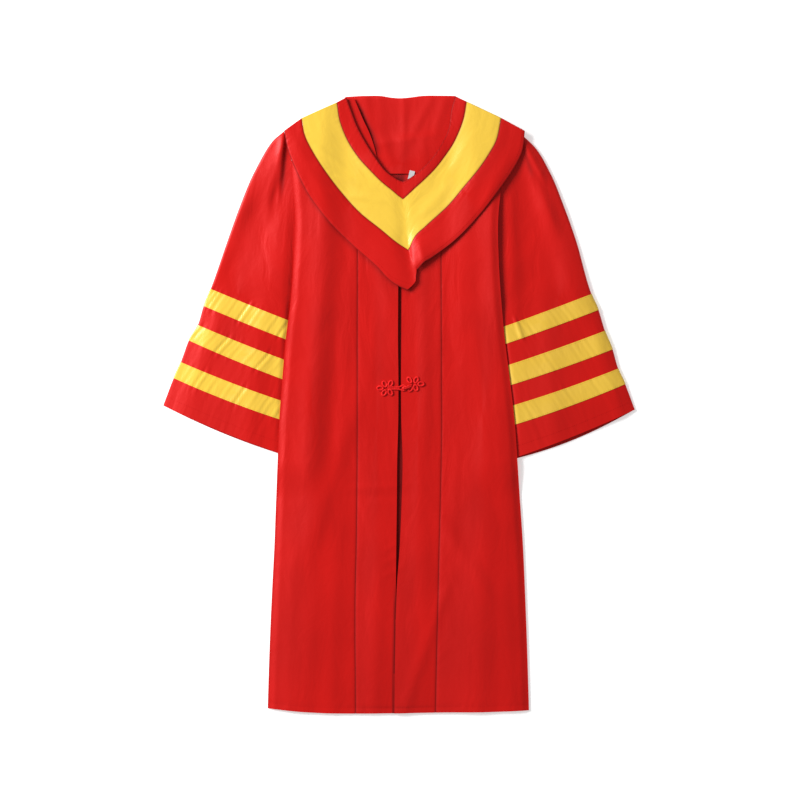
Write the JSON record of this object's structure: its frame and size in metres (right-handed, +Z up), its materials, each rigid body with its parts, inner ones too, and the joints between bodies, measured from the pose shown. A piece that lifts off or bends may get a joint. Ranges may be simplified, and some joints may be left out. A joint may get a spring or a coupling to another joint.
{
  "type": "graduation gown",
  "caption": "Red satin graduation gown laid flat, with a red and yellow collar cape, yellow sleeve ribbons and a corded knot closure.",
  "frame": {"origin": "centre of the bounding box, at its bottom, on the surface that the gown lies on", "axes": "+Y from the hem to the neck, +X to the right as one looks down on the gown, +Z up from the surface"},
  "size_m": [0.8418, 1.1014, 0.0213],
  "materials": {
    "red_satin": "satin weave polyester",
    "yellow_satin": "satin ribbon",
    "red_cord": "twisted cord",
    "white_label": "woven label, blank"
  },
  "bodies": {
    "root": {"back": "red_satin", "front_side_left": "red_satin", "front_centre_left": "red_satin", "front_centre_right": "red_satin", "front_side_right": "red_satin", "sleeve_left": "red_satin", "sleeve_right": "red_satin", "collar_back": "red_satin", "collar_inner_border_left": "red_satin", "collar_inner_border_right": "red_satin", "collar_outer_border_left": "red_satin", "collar_outer_border_right": "red_satin", "neck_facing_left": "red_satin", "collar_band_left": "yellow_satin", "collar_band_right": "yellow_satin", "ribbon_left_1": "yellow_satin", "ribbon_left_2": "yellow_satin", "ribbon_left_3": "yellow_satin", "ribbon_right_1": "yellow_satin", "ribbon_right_2": "yellow_satin", "ribbon_right_3": "yellow_satin", "closure_loop": "red_cord", "closure_knob": "red_cord", "neck_label": "white_label"}
  },
  "joints": []
}
